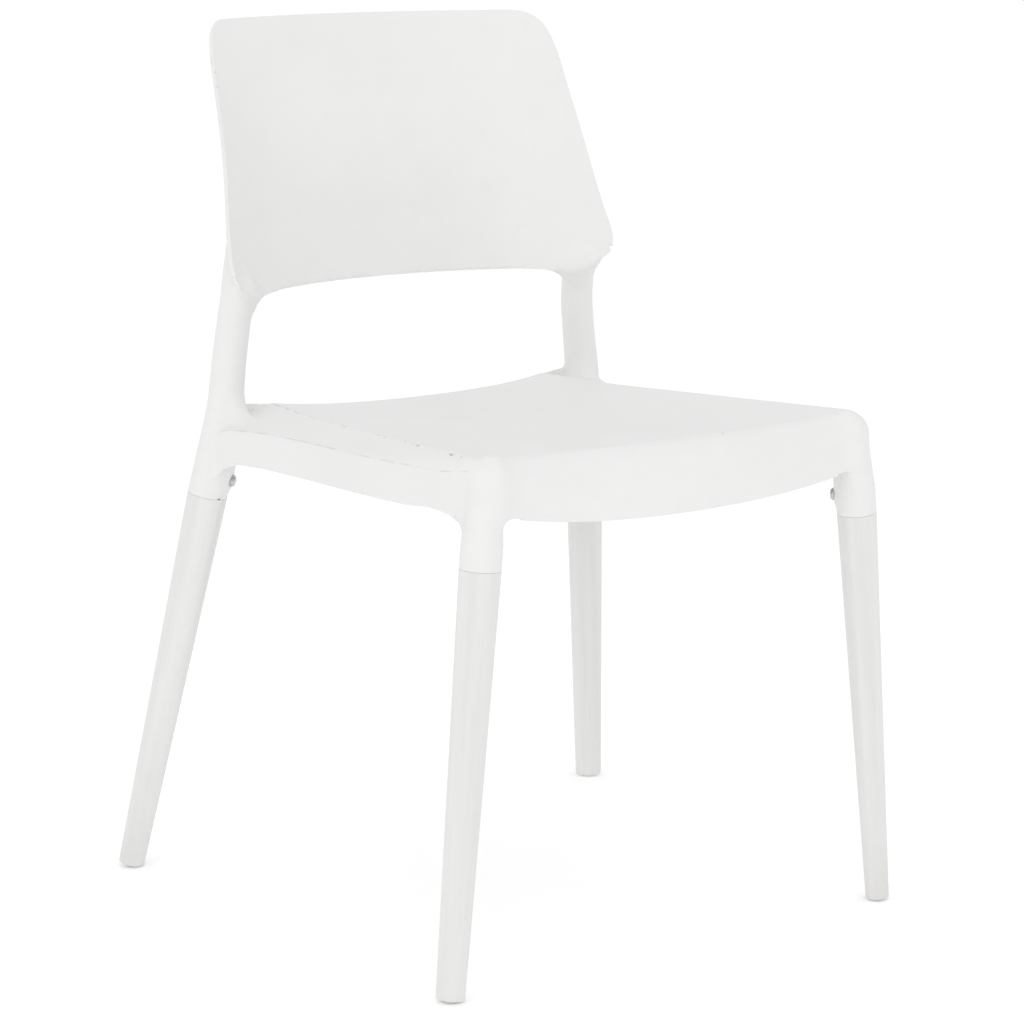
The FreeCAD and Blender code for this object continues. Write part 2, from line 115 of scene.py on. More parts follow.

# Pinhole at the mould line's end (its shade is painted as a dark spot), area lights (name, place,
# size, power), floor and camera.
# Places and sizes are in metres, the lens is in millimetres and the angles are in degrees
PINHOLE = (0.2152, 0.2385, 0.4465)
LIGHT_TARGET = (0, 0, 0.45)
LIGHTS = [
    ("key", (-2.2, -3.6, 1.9), 2.6, 15),
    ("fill", (-3.6, -1.0, 2.2), 2.6, 9),
    ("top", (0.0, -0.6, 3.4), 3.0, 8),
]
WORLD_STRENGTH = 0.92
FLOOR_REACH = 40.0
CAMERA_PLACE = (-1.70375, -2.39291, 0.93951)
CAMERA_LENS = 114.55
CAMERA_DOWN = 11.23
CAMERA_HEADING = -35.5

# Side rail: depth, lower edge, and the mould line where the wall turns into the shoulder
RAIL = [
    (-243, 384, 447.5), (-236, 390, 447), (-229, 401, 446), (-221, 407, 445), (-212, 409, 444),
    (-150, 406.5, 441), (-80, 405, 438.5), (20, 404, 437), (85, 402, 434), (118, 399, 431),
    (140, 392, 428), (150, 386, 426), (165, 376, 424),
]
# Right post: centre and radius from the socket up into the back of the panel
POST = [
    (218.8, 178.4, 350.0, 18.5), (216.8, 176.1, 363.3, 18.5), (210.3, 168.6, 405.0, 17.9),
    (203.9, 163.4, 447.0, 16.6), (199.6, 162.8, 485.0, 15.8), (195.6, 160.4, 520.0, 15.5),
    (194.8, 154.8, 548.0, 14.6), (195.1, 154.4, 562.0, 13.2), (195.6, 156.0, 581.0, 9.5),
    (195.2, 157.6, 602.0, 6.0), (192.0, 162.8, 630.0, 3.6), (189.5, 169.0, 652.0, 2.4),
]
# Right edge of the backrest, from the top corner down round the ear to the window
BACK_EDGE = [
    (190.4, 770), (193.8, 752), (195.5, 732), (197.3, 712), (199.4, 692), (201.7, 672),
    (204.2, 652), (207.0, 632), (210.2, 612), (213.0, 594), (214.2, 585), (214.1, 576),
    (212.9, 569), (210.2, 563.5), (206.1, 559.0), (199.8, 555.5), (190.0, 550.5), (178.0, 545.5),
    (168.0, 545.0), (155.0, 546.5), (140.0, 547.0),
]
# How far the backrest's face stands behind a straight line, along its height
BACK_BOW = [
    (547, 1.0), (585, 1.0), (606, 0.4), (622, -1.4), (643, -3.8), (680, -6.2), (725, -5.0),
    (770, -2.6), (794.5, -1.0),
]


def crest_half(y):
    """Half width of the pan at depth y."""
    return CREST_FRONT_HALF - CREST_TAPER * (y - CREST_FRONT_Y)


def crest_z(y):
    """Height of the pan's side edge at depth y."""
    return CREST_FRONT_Z - CREST_SLOPE * (y - CREST_FRONT_Y)


def seat_z(x, y):
    """Height of the dished seat."""
    along = (y - CREST_FRONT_Y) / (REAR_EDGE_MID - CREST_FRONT_Y)
    ends = FRONT_DIP * (1 - along) + REAR_DIP * along
    dip = ends + (DISH_DEEP - ends) * np.maximum(0, 1 - (2 * along - 1) ** 2)
    return crest_z(y) - dip * (1 - (x / crest_half(y)) ** 2)


def rear_edge_y(x):
    """Depth of the pan's rear edge."""
    return REAR_EDGE_MID + REAR_EDGE_RISE * (x / REAR_EDGE_HALF) ** 2


def smooth_step(value, low, high):
    """Rises smoothly from 0 at low to 1 at high."""
    share = np.clip((value - low) / (high - low), 0, 1)
    return share * share * (3 - 2 * share)


def pan_z(x, y):
    """Height of the pan, whose rear corners rise a little towards the posts."""
    outward = (np.abs(x) / PAN_CORNER_HALF) ** 4
    return seat_z(x, y) + PAN_CORNER_RISE * outward * smooth_step(y, 70, 160)


def apron_z(x):
    """Height of the rear edge, which climbs a little more beyond the pan's corners."""
    edge = rear_edge_y(x)
    return pan_z(np.minimum(x, crest_half(edge)), edge) + 2.5 * smooth_step(x, 157, 180)


def along_table(table, value, column):
    """Smooth reading of one column of a table whose first column rises."""
    keys = np.array([row[0] for row in table], float)
    values = np.array([row[column] for row in table], float)
    value = np.clip(value, keys[0], keys[-1])
    index = np.clip(np.searchsorted(keys, value) - 1, 0, len(keys) - 2)
    slope = np.gradient(values, keys)
    span = keys[index + 1] - keys[index]
    t = (value - keys[index]) / span
    level = values[index] * (2 * t ** 3 - 3 * t ** 2 + 1)
    level = level + values[index + 1] * (3 * t ** 2 - 2 * t ** 3)
    lean = slope[index] * (t ** 3 - 2 * t ** 2 + t) + slope[index + 1] * (t ** 3 - t ** 2)
    return level + span * lean


def mirrored(curve):
    """A curve on the right and its mirror image on the left."""
    return np.concatenate([curve, curve * [-1, 1, 1]])


# ---------------------------------------------------------------- distance fields

def smooth_union(a, b, reach):
    """Union of two fields with a fillet about as wide as reach."""
    share = np.maximum(reach - np.abs(a - b), 0) / reach
    return np.minimum(a, b) - share * share * reach / 4


def polygon_field(px, pz, corners):
    """Signed distance to a polygon. Corners may vary along the other axes."""
    nearest = None
    inside = None
    for (ax, az), (bx, bz) in zip(corners, corners[1:] + corners[:1]):
        ex = bx - ax
        ez = bz - az
        wx = px - ax
        wz = pz - az
        share = np.clip((wx * ex + wz * ez) / np.maximum(ex * ex + ez * ez, 1e-6), 0, 1)
        away = (wx - ex * share) ** 2 + (wz - ez * share) ** 2
        steep = np.where(np.abs(ez) < 1e-6, 1e-6, ez)
        crosses = ((az > pz) != (bz > pz)) & (wx < ex * wz / steep)
        nearest = away if nearest is None else np.minimum(nearest, away)
        inside = crosses if inside is None else inside ^ crosses
    return np.where(inside, -np.sqrt(nearest), np.sqrt(nearest))


def tube_field(x, y, z, points):
    """Distance to a round bar through (x, y, z, radius) points."""
    best = None
    for a, b in zip(points, points[1:]):
        e = np.array(b[:3]) - np.array(a[:3])
        share = ((x - a[0]) * e[0] + (y - a[1]) * e[1] + (z - a[2]) * e[2]) / float(e @ e)
        share = np.clip(share, 0, 1)
        away = np.sqrt((x - a[0] - e[0] * share) ** 2 + (y - a[1] - e[1] * share) ** 2
                       + (z - a[2] - e[2] * share) ** 2)
        field = away - (a[3] + (b[3] - a[3]) * share)
        best = field if best is None else np.minimum(best, field)
    return best


class Grid:
    """Half of the moulding's space, for x from the plane of symmetry outwards."""

    def __init__(self, low, high, step):
        self.step = step
        self.low = np.array(low, float)
        self.axes = [np.arange(low[i], high[i] + step, step) for i in range(3)]
        self.field = np.full([len(a) for a in self.axes], 30.0, np.float32)

    def part(self, low, high):
        """Slices of a box of the grid, and its coordinates."""
        cuts = []
        for axis, a, b in zip(self.axes, low, high):
            cuts.append(slice(int(np.searchsorted(axis, a)), int(np.searchsorted(axis, b))))
        x, y, z = [axis[cut].astype(np.float32) for axis, cut in zip(self.axes, cuts)]
        return tuple(cuts), x[:, None, None], y[None, :, None], z[None, None, :]

    def add(self, low, high, make, reach):
        """Joins a shape to the field inside a box, with a fillet of the given reach."""
        cuts, x, y, z = self.part(low, high)
        self.field[cuts] = smooth_union(self.field[cuts], make(x, y, z), reach(x, y, z))

    def trim(self, low, high, make):
        """Cuts the field inside a box down to a shape."""
        cuts, x, y, z = self.part(low, high)
        self.field[cuts] = np.maximum(self.field[cuts], make(x, y, z))


def back_face_y(x, z):
    """Depth of the backrest's front face."""
    along = (z - BACK_LOW_Z) / (BACK_TOP_Z - BACK_LOW_Z)
    deep = BACK_LOW_Y + BACK_LEAN * along + along_table(BACK_BOW, z, 1)
    bend = BACK_LOW_BEND + BACK_MORE_BEND * along
    return deep - bend + np.sqrt(np.maximum(bend ** 2 - x ** 2, 1))


def back_slant(x, z):
    """How much thicker the bent and leaning panel measures along the depth axis."""
    bend = BACK_LOW_BEND + BACK_MORE_BEND * (z - BACK_LOW_Z) / (BACK_TOP_Z - BACK_LOW_Z)
    return np.sqrt(1 + x ** 2 / np.maximum(bend ** 2 - x ** 2, 1) + BACK_SLOPE_SQUARED)


def back_outline():
    """Right half of the backrest's outline, from the top round to the window."""
    corner = []
    for angle in np.linspace(0, 1.45, 9):
        corner.append((BACK_CORNER_X + BACK_CORNER * math.sin(angle),
                       BACK_RIM_Z - BACK_CORNER + BACK_CORNER * math.cos(angle)))
    return corner + BACK_EDGE


def back_field(x, y, z):
    """Panel of the backrest. Its outline runs past X = 0 so that the half has no edge there."""
    outline = [(-120.0, BACK_RIM_Z)] + back_outline() + [(-120.0, BACK_LOW_Z)]
    flat = polygon_field(x, z, [(float(a), float(b)) for a, b in outline])
    face = back_face_y(x, z)
    lean = back_slant(x, z)
    across = np.abs(y - face - BACK_THICK / 2 * lean) / lean - BACK_THICK / 2
    a = flat + BACK_EDGE_ROUND
    b = across + BACK_EDGE_ROUND
    outside = np.sqrt(np.maximum(a, 0) ** 2 + np.maximum(b, 0) ** 2)
    return np.minimum(np.maximum(a, b), 0) + outside - BACK_EDGE_ROUND


def shoulder(width, drop, power, count=8):
    """Points of the rolled edge, from the crest out to the top of the wall."""
    points = []
    for i in range(count + 1):
        q = 1 - (1 - i / count) ** 1.6
        points.append((q * width, -drop * (1 - (1 - q ** power) ** (1 / power))))
    return points


def rail_half(y):
    """Half width over the side rails, drawn in a little where they meet the front columns."""
    spread = RAIL_SPREAD * (y - CREST_FRONT_Y) / RAIL_LONG
    return RAIL_HALF_FRONT + spread - 3.0 * smooth_step(-y, 205, 236)


def skirt_low(x):
    """Height of the front skirt's lower edge."""
    share = np.minimum((x / SKIRT_HALF) ** 2, 1)
    return 392 + 14 * share + 4.5 * share ** 2 - 3 * smooth_step(x, 184, 192)


def ring_field(x, y, z):
    """Side rail, front corner and front skirt, as one section carried round the pan."""
    side = x - crest_half(y)
    front = CREST_FRONT_Y - y
    out_x = side + CREST_CORNER
    out_y = front + CREST_CORNER
    round_off = np.sqrt(np.maximum(out_x, 0) ** 2 + np.maximum(out_y, 0) ** 2)
    q = np.minimum(np.maximum(out_x, out_y), 0) + round_off - CREST_CORNER
    turn = smooth_step(np.arctan2(np.maximum(out_y, 0), np.maximum(out_x, 1e-3)), 0.25, 1.3)
    width = (rail_half(y) - crest_half(y)) * (1 - turn) + SKIRT_WIDE * turn
    inner_x = np.minimum(x, crest_half(y))
    inner_y = np.maximum(y, CREST_FRONT_Y)
    top = pan_z(inner_x, inner_y)
    rail_drop = pan_z(crest_half(inner_y), inner_y) - along_table(RAIL, y, 2)
    drop = rail_drop * (1 - turn) + SKIRT_WIDE * turn
    low = along_table(RAIL, y, 1) * (1 - turn) + skirt_low(x) * turn - top
    power = 1.02 + 0.45 * smooth_step(-y, 60, 240) * (1 - turn) + 0.7 * turn
    corners = shoulder(width, drop, power)
    under = -LEDGE_DROP - LEDGE_THICK
    corners += [
        (width, low), (width - WALL, low), (width - WALL, np.minimum(-drop - 3, under)),
        (0.15 * width, under + 0 * width), (-LEDGE_WIDE + 0 * width, under + 0 * width),
        (-LEDGE_WIDE + 0 * width, -LEDGE_DROP + 0 * width), (0 * width, -LEDGE_DROP + 0 * width),
    ]
    field = polygon_field(q, z - top, corners)
    return np.maximum(field, y - 168)


def apron_field(x, y, z):
    """Cross rail behind the pan."""
    edge = rear_edge_y(x)
    top = apron_z(x)
    roll = shoulder(APRON_ROLL, APRON_ROLL, 1.5, 5)
    under = -LEDGE_DROP - LEDGE_THICK
    corners = roll + [
        (APRON_ROLL, -APRON_TALL), (APRON_ROLL - WALL, -APRON_TALL), (APRON_ROLL - WALL, -15.0),
        (1.8, under),
        (-LEDGE_WIDE, under), (-LEDGE_WIDE, -LEDGE_DROP), (0.0, -LEDGE_DROP),
    ]
    return np.maximum(polygon_field(y - edge, z - top, corners), x - 196)


def leg_axes(end):
    """Right leg's foot, unit axis up the leg, inward direction and length."""
    foot = np.array(FOOT[end])
    joint = np.array(JOINT[end])
    up = joint - foot
    long = float(np.linalg.norm(up))
    up = up / long
    inward = np.array([-1.0, 1.0 if end == "front" else -1.0, 0.0])
    inward -= up * (inward @ up)
    inward /= np.linalg.norm(inward)
    return foot, up, inward, long


def pad_field(end):
    """Flat pad under the leg screw's head."""
    foot, up, inward, long = leg_axes(end)
    side = np.cross(up, inward)
    reach = TOP_DIA[end] / 2 + PAD_PROUD
    middle = foot + up * (long + PAD_MIDDLE)

    def field(x, y, z):
        dx, dy, dz = x - middle[0], y - middle[1], z - middle[2]
        a = dx * inward[0] + dy * inward[1] + dz * inward[2] - reach
        a = np.maximum(a, -reach - a)
        b = np.abs(dx * side[0] + dy * side[1] + dz * side[2]) - PAD_WIDE / 2
        c = np.abs(dx * up[0] + dy * up[1] + dz * up[2]) - PAD_HALF_TALL
        return np.maximum(np.maximum(a, b), c)
    return field


def below_joint(end):
    """Space under the socket's end, where the leg begins."""
    foot, up, _, long = leg_axes(end)
    joint = foot + up * (long + JOINT_GAP)

    def field(x, y, z):
        return (joint[0] - x) * up[0] + (joint[1] - y) * up[1] + (joint[2] - z) * up[2]
    return field


def dense(points, count=4):
    """The same bar with smooth points in between."""
    table = np.array(points, float)
    keys = np.arange(len(points), dtype=float)
    rows = [[k] + list(row) for k, row in zip(keys, table)]
    fine = np.linspace(0, len(points) - 1, (len(points) - 1) * count + 1)
    return np.stack([along_table(rows, fine, i + 1) for i in range(4)], 1).tolist()


def bar(points):
    """Field of one round bar."""
    def field(x, y, z):
        return tube_field(x, y, z, points)
    return field


def even(reach):
    """The same fillet everywhere."""
    return lambda x, y, z: reach


def column_reach(x, y, z):
    """Fillet of the front column, wide only on its inner side and wider higher up."""
    return 3.0 + smooth_step(206 - x, 0, 14) * (6 + 11 * smooth_step(z, 405, 430))


def post_reach(x, y, z):
    """Fillet of the rear post: the large cove in front of it, small everywhere else."""
    return (4.0 + 30 * smooth_step(x, 178, 196) * (1 - smooth_step(x, 205, 216))
            * smooth_step(175 - y, 0, 20) * smooth_step(z, 400, 424))


def panel_reach(x, y, z):
    """Fillet between post and panel, wider behind the panel and at its lower end."""
    return (1.0 + 6 * smooth_step(y - back_face_y(x, z), 1, 6)
            + 19 * smooth_step(575 - z, 0, 24))


def moulding_field():
    """The right half of the frame moulding."""
    grid = Grid((0, -274, 352), (244, 280, 804), VOXEL)
    grid.add((0, -274, 366), (240, 172, 470), ring_field, even(0.01))
    grid.add((0, 120, 390), (204, 190, 470), apron_field, even(2.5))
    foot, up, _, long = leg_axes("front")
    column = []
    for rise, taper in ((-8, 0), (22, 0), (50, 2.5), (78, 6.5)):
        column.append(list(foot + up * (long + rise)) + [TOP_DIA["front"] / 2 - taper])
    grid.add((160, -274, 352), (240, -212, 470), bar(column), column_reach)
    post = bar(dense(POST))
    grid.add((140, 60, 352), (244, 206, 510), post, post_reach)
    grid.add((140, 60, 510), (244, 206, 662), post, even(0.01))
    grid.add((0, 90, 490), (226, 280, 804), back_field, panel_reach)
    for end in ENDS:
        box_low, box_high = (176, -274, 352), (240, -212, 420)
        if end == "rear":
            box_low, box_high = (180, 140, 352), (244, 206, 420)
        grid.add(box_low, box_high, pad_field(end), even(1.5))
        grid.trim((box_low[0] - 16, box_low[1], 352), (244, box_high[1], 392), below_joint(end))
    return grid


# ---------------------------------------------------------------- field to mesh

def both_halves(grid):
    """The field over both halves and its low corner."""
    half = grid.field
    origin = grid.low.copy()
    origin[0] = -grid.axes[0][-1]
    return np.concatenate([half[:0:-1], half], 0), origin


def net_points(field, origin, step):
    """One vertex in each cell that the surface crosses, and each cell's vertex number or -1."""
    inside = field < 0
    count = np.zeros([n - 1 for n in field.shape], np.int8)
    for i, j, k in CORNERS:
        count += inside[i:i + count.shape[0], j:j + count.shape[1], k:k + count.shape[2]]
    cells = np.argwhere((count > 0) & (count < 8))
    ids = np.full(count.shape, -1, np.int32)
    ids[tuple(cells.T)] = np.arange(len(cells))
    total = np.zeros((len(cells), 3))
    hits = np.zeros(len(cells))
    for axis in range(3):
        others = [a for a in range(3) if a != axis]
        for i in (0, 1):
            for j in (0, 1):
                start = np.zeros(3, int)
                start[others[0]] = i
                start[others[1]] = j
                end = start.copy()
                end[axis] = 1
                a = field[tuple((cells + start).T)].astype(float)
                b = field[tuple((cells + end).T)].astype(float)
                cross = (a < 0) != (b < 0)
                share = np.where(cross, a / np.where(cross, a - b, 1), 0)
                point = np.repeat(start[None, :].astype(float), len(cells), 0)
                point[:, axis] = share
                total += point * cross[:, None]
                hits += cross
    return origin + (cells + total / hits[:, None]) * step, ids


def depth_at(field, spot, part):
    """Field at points given by their cell (spot) and their place inside it (part, 0 to 1)."""
    depth = np.zeros(len(part))
    for corner in CORNERS:
        weight = np.prod(np.where(corner, part, 1 - part), 1)
        depth += weight * field[tuple((spot + corner).T)]
    return depth


def near_vertices(points, ids, taken, curve, spot, step):
    """Closest free vertex for each point of a curve whose own cell has none, or -1."""
    own = ids[tuple(spot.T)]
    index = np.full(len(curve), -1)
    closest = np.full(len(curve), SNAP_FAR * step)
    around = range(-SNAP_CELLS, SNAP_CELLS + 1)
    for offset in [(i, j, k) for i in around for j in around for k in around]:
        near = ids[tuple((spot + offset).T)]
        away = np.linalg.norm(points[near] - curve, axis=1)
        better = (own < 0) & (near >= 0) & ~taken[near] & (away < closest)
        index = np.where(better, near, index)
        closest = np.where(better, away, closest)
    return index


def snap_vertices(points, ids, field, origin, step, curves, rims):
    """Pulls vertices onto the curves that pass their cells, then free ones onto the rims near them."""
    taken = np.zeros(len(points), bool)
    for wide, group in ((False, curves + rims), (True, rims)):
        for curve in group:
            place = (curve - origin) / step
            spot = np.floor(place).astype(int)
            if wide:
                index = near_vertices(points, ids, taken, curve, spot, step)
            else:
                own = ids[tuple(spot.T)]
                index = np.where((own >= 0) & ~taken[own], own, -1)
            found = (index >= 0) & (depth_at(field, spot, place - spot) > -SNAP_DEPTH)
            moved = np.zeros((len(points), 3))
            seen = np.zeros(len(points))
            np.add.at(moved, index[found], curve[found])
            np.add.at(seen, index[found], 1)
            hit = seen > 0
            points[hit] = moved[hit] / seen[hit][:, None]
            taken |= hit


def net_quads(field, ids):
    """One quad across each grid edge that the surface crosses, facing out."""
    inside = field < 0
    quads = []
    for axis in range(3):
        others = [a for a in range(3) if a != axis]
        size = list(field.shape)
        size[axis] -= 1
        window = [slice(0, n) for n in size]
        later = list(window)
        later[axis] = slice(1, size[axis] + 1)
        edges = np.argwhere(inside[tuple(window)] != inside[tuple(later)])
        for other in others:
            edges = edges[(edges[:, other] > 0) & (edges[:, other] < ids.shape[other])]
        ring = []
        for i, j in ((1, 1), (0, 1), (0, 0), (1, 0)):
            cell = edges.copy()
            cell[:, others[0]] -= i
            cell[:, others[1]] -= j
            ring.append(ids[tuple(cell.T)])
        quad = np.stack(ring, 1)
        flip = inside[tuple(edges.T)]
        if axis == 1:
            flip = ~flip
        quad[~flip] = quad[~flip][:, ::-1]
        quads.append(quad)
    return np.concatenate(quads)


def surface_net(grid, curves, rims):
    """Quads over the whole symmetric field, with vertices pulled onto sharp curves and thin rims."""
    field, origin = both_halves(grid)
    points, ids = net_points(field, origin, grid.step)
    snap_vertices(points, ids, field, origin, grid.step, curves, rims)
    return points, net_quads(field, ids)


def new_piece(name, points, faces, material, sharp=35.0):
    """Smooth-shaded object with creases where faces meet at more than sharp degrees."""
    mesh = bpy.data.meshes.new(name)
    mesh.from_pydata((np.asarray(points, float) * MM).tolist(), [], [list(map(int, f)) for f in faces])
    mesh.validate()
    mesh.update()
    mesh.polygons.foreach_set("use_smooth", [True] * len(mesh.polygons))
    mesh.set_sharp_from_angle(angle=math.radians(sharp))
    mesh.materials.append(material)
    piece = bpy.data.objects.new(name, mesh)
    bpy.context.scene.collection.objects.link(piece)
    return piece


# ---------------------------------------------------------------- materials

def tree_of(name):
    material = bpy.data.materials.new(name)
    material.use_nodes = True
    tree = material.node_tree
    return material, tree, tree.nodes["Principled BSDF"]


def add_node(tree, kind, values=None, **props):
    node = tree.nodes.new(kind)
    for key, value in props.items():
        setattr(node, key, value)
    for key, value in (values or {}).items():
        node.inputs[key].default_value = value
    return node


def noise(tree, source, scale, detail=3.0, stretch=(1, 1, 1)):
    mapping = add_node(tree, "ShaderNodeMapping", {"Scale": stretch})
    tree.links.new(source, mapping.inputs["Vector"])
    node = add_node(tree, "ShaderNodeTexNoise", {"Scale": scale, "Detail": detail})
    tree.links.new(mapping.outputs["Vector"], node.inputs["Vector"])
    return node.outputs["Fac"]


def ramp(tree, source, low, high, start=0.0, end=1.0):
    limits = {"From Min": low, "From Max": high, "To Min": start, "To Max": end}
    node = add_node(tree, "ShaderNodeMapRange", limits)
    tree.links.new(source, node.inputs["Value"])
    return node.outputs["Result"]


def mix(tree, share, dark, light):
    node = add_node(tree, "ShaderNodeMix", data_type="RGBA")
    for socket, value in ((node.inputs[0], share), (node.inputs[6], dark), (node.inputs[7], light)):
        if isinstance(value, bpy.types.NodeSocket):
            tree.links.new(value, socket)
        else:
            socket.default_value = value
    return node.outputs[2]


def math_node(tree, operation, *values):
    node = add_node(tree, "ShaderNodeMath", operation=operation)
    for socket, value in zip(node.inputs, values):
        if isinstance(value, bpy.types.NodeSocket):
            tree.links.new(value, socket)
        else:
            socket.default_value = value
    return node.outputs[0]


def bump(tree, height, strength, distance, normal=None):
    node = add_node(tree, "ShaderNodeBump", {"Strength": strength, "Distance": distance})
    tree.links.new(height, node.inputs["Height"])
    if normal is not None:
        tree.links.new(normal, node.inputs["Normal"])
    return node.outputs["Normal"]


def plastic(name, light, dark, with_line_and_painted_shade=False):
    """Matte moulded plastic: fine grain, faint flow and scuffs. The frame also has a mould line,
    bumped and darkened with painted shade, and a dark spot of painted shade at its pinhole.
    """
    material, tree, surface = tree_of(name)
    place = add_node(tree, "ShaderNodeTexCoord").outputs["Object"]
    broad = noise(tree, place, 5.0, 2.0)
    flow = noise(tree, place, 34.0, 4.0, (1, 0.35, 1.6))
    grain = noise(tree, place, 1900.0, 2.0)
    scuff = noise(tree, place, 55.0, 6.0, (1, 3.5, 0.6))
    worn = ramp(tree, scuff, 0.62, 0.76)
    broad_share = math_node(tree, "MULTIPLY", broad, 0.7)
    flow_share = math_node(tree, "MULTIPLY", flow, 0.3)
    tone = math_node(tree, "ADD", broad_share, flow_share)
    colour = mix(tree, ramp(tree, tone, 0.35, 0.65), dark, light)
    colour = mix(tree, math_node(tree, "MULTIPLY", worn, 0.10), colour, (0.66, 0.655, 0.64, 1))
    base_rough = ramp(tree, flow, 0.3, 0.7, 0.40, 0.50)
    rough = math_node(tree, "ADD", base_rough, math_node(tree, "MULTIPLY", worn, 0.12))
    normal = bump(tree, grain, 0.10, 0.0002)
    normal = bump(tree, flow, 0.10, 0.0006, normal)
    if with_line_and_painted_shade:
        line = add_node(tree, "ShaderNodeAttribute", attribute_name="mould_line").outputs["Fac"]
        away = math_node(tree, "ABSOLUTE", line)
        core = ramp(tree, away, 0.15, 0.55, 1.0, 0.0)
        patchy = ramp(tree, noise(tree, place, 60.0, 2.0), 0.40, 0.62, 0.15, 0.9)
        line_bump_and_painted_shade = math_node(tree, "MULTIPLY", core, patchy)
        # Painted shade: the mould line's fine groove is darkened in the colour, on top of its real
        # bump.
        colour = mix(tree, math_node(tree, "MULTIPLY", line_bump_and_painted_shade, 0.30), colour, (0.30, 0.30, 0.30, 1))
        fold = add_node(tree, "ShaderNodeVectorMath", operation="ABSOLUTE")
        tree.links.new(place, fold.inputs[0])
        pin = add_node(tree, "ShaderNodeVectorMath", {1: PINHOLE}, operation="DISTANCE")
        tree.links.new(fold.outputs[0], pin.inputs[0])
        # Painted shade: a dark spot in the colour stands for the shade inside the pinhole, which the
        # mesh does not have.
        pinhole_painted_shade = ramp(tree, pin.outputs["Value"], 0.0007, 0.0016, 0.7, 0.0)
        colour = mix(tree, pinhole_painted_shade, colour, (0.12, 0.12, 0.12, 1))
        normal = bump(tree, math_node(tree, "SUBTRACT", 1.0, line_bump_and_painted_shade), 0.5, 0.0004, normal)
    tree.links.new(colour, surface.inputs["Base Color"])
    tree.links.new(rough, surface.inputs["Roughness"])
    tree.links.new(normal, surface.inputs["Normal"])
    surface.inputs["IOR"].default_value = 1.46
    surface.inputs["Specular IOR Level"].default_value = 0.35
    return material


def lacquered_wood(name, up):
    """White-lacquered wood: long faint grain, pores that show through, rubbed near the floor."""
    material, tree, surface = tree_of(name)
    place = add_node(tree, "ShaderNodeTexCoord").outputs["Object"]
    align = add_node(tree, "ShaderNodeVectorRotate", rotation_type="EULER_XYZ")
    align.inputs["Rotation"].default_value = up
    tree.links.new(place, align.inputs["Vector"])
    local = align.outputs["Vector"]
    rings = noise(tree, local, 90.0, 4.0, (1, 1, 0.035))
    pores = noise(tree, local, 420.0, 3.0, (1, 1, 0.03))
    broad = noise(tree, local, 9.0, 2.0)
    height = add_node(tree, "ShaderNodeSeparateXYZ")
    tree.links.new(place, height.inputs["Vector"])
    foot = ramp(tree, height.outputs["Z"], 0.012, 0.06, 1.0, 0.0)
    worn = math_node(tree, "MULTIPLY", foot, ramp(tree, broad, 0.45, 0.65))
    colour = mix(tree, ramp(tree, rings, 0.35, 0.68), (0.70, 0.698, 0.69, 1), (0.76, 0.757, 0.748, 1))
    pore_share = math_node(tree, "MULTIPLY", ramp(tree, pores, 0.62, 0.72), 0.16)
    colour = mix(tree, pore_share, colour, (0.55, 0.53, 0.49, 1))
    colour = mix(tree, math_node(tree, "MULTIPLY", worn, 0.25), colour, (0.58, 0.55, 0.50, 1))
    base_rough = ramp(tree, rings, 0.3, 0.7, 0.36, 0.46)
    rough = math_node(tree, "ADD", base_rough, math_node(tree, "MULTIPLY", worn, 0.2))
    normal = bump(tree, rings, 0.10, 0.0004)
    normal = bump(tree, pores, 0.10, 0.0002, normal)
    tree.links.new(colour, surface.inputs["Base Color"])
    tree.links.new(rough, surface.inputs["Roughness"])
    tree.links.new(normal, surface.inputs["Normal"])
    return material


def metal(name, light, dark, rough):
    """Plated steel or brass: turned marks, tarnish and small scratches."""
    material, tree, surface = tree_of(name)
    place = add_node(tree, "ShaderNodeTexCoord").outputs["Object"]
    broad = noise(tree, place, 160.0, 3.0)
    marks = noise(tree, place, 900.0, 4.0, (1, 1, 4))
    colour = mix(tree, ramp(tree, broad, 0.35, 0.65), dark, light)
    shine = ramp(tree, marks, 0.3, 0.7, rough - 0.07, rough + 0.08)
    tree.links.new(colour, surface.inputs["Base Color"])
    tree.links.new(shine, surface.inputs["Roughness"])
    tree.links.new(bump(tree, marks, 0.2, 0.0002), surface.inputs["Normal"])
    surface.inputs["Metallic"].default_value = 1.0
    return material


frame_plastic = plastic("frame_plastic", (0.795, 0.795, 0.79, 1), (0.765, 0.765, 0.76, 1), True)
seat_plastic = plastic("seat_plastic", (0.785, 0.785, 0.78, 1), (0.755, 0.755, 0.75, 1))
glide_plastic = plastic("glide_plastic", (0.62, 0.62, 0.61, 1), (0.55, 0.55, 0.54, 1))
steel = metal("screw_metal", (0.62, 0.62, 0.63, 1), (0.42, 0.42, 0.43, 1), 0.30)
brass = metal("insert_metal", (0.66, 0.52, 0.27, 1), (0.48, 0.37, 0.18, 1), 0.34)


# ---------------------------------------------------------------- frame moulding

def crest_curve():
    """Sharp inner lip of the frame round the pan, right half and left half."""
    y = np.arange(CREST_FRONT_Y + CREST_CORNER, 160, CURVE_STEP)
    side = np.stack([crest_half(y), y, pan_z(crest_half(y), y)], 1)
    x = np.arange(0, crest_half(CREST_FRONT_Y + CREST_CORNER) - CREST_CORNER, CURVE_STEP)
    y = np.full_like(x, CREST_FRONT_Y)
    front = np.stack([x, y, seat_z(x, y)], 1)
    angle = np.arange(0, math.pi / 2, 0.012)
    y = CREST_FRONT_Y + CREST_CORNER * (1 - np.sin(angle))
    x = crest_half(y) - CREST_CORNER * (1 - np.cos(angle))
    corner = np.stack([x, y, seat_z(x, y)], 1)
    x = np.arange(0, 165, CURVE_STEP)
    rear = np.stack([x, rear_edge_y(x), apron_z(x)], 1)
    return mirrored(np.concatenate([side, front, corner, rear]))


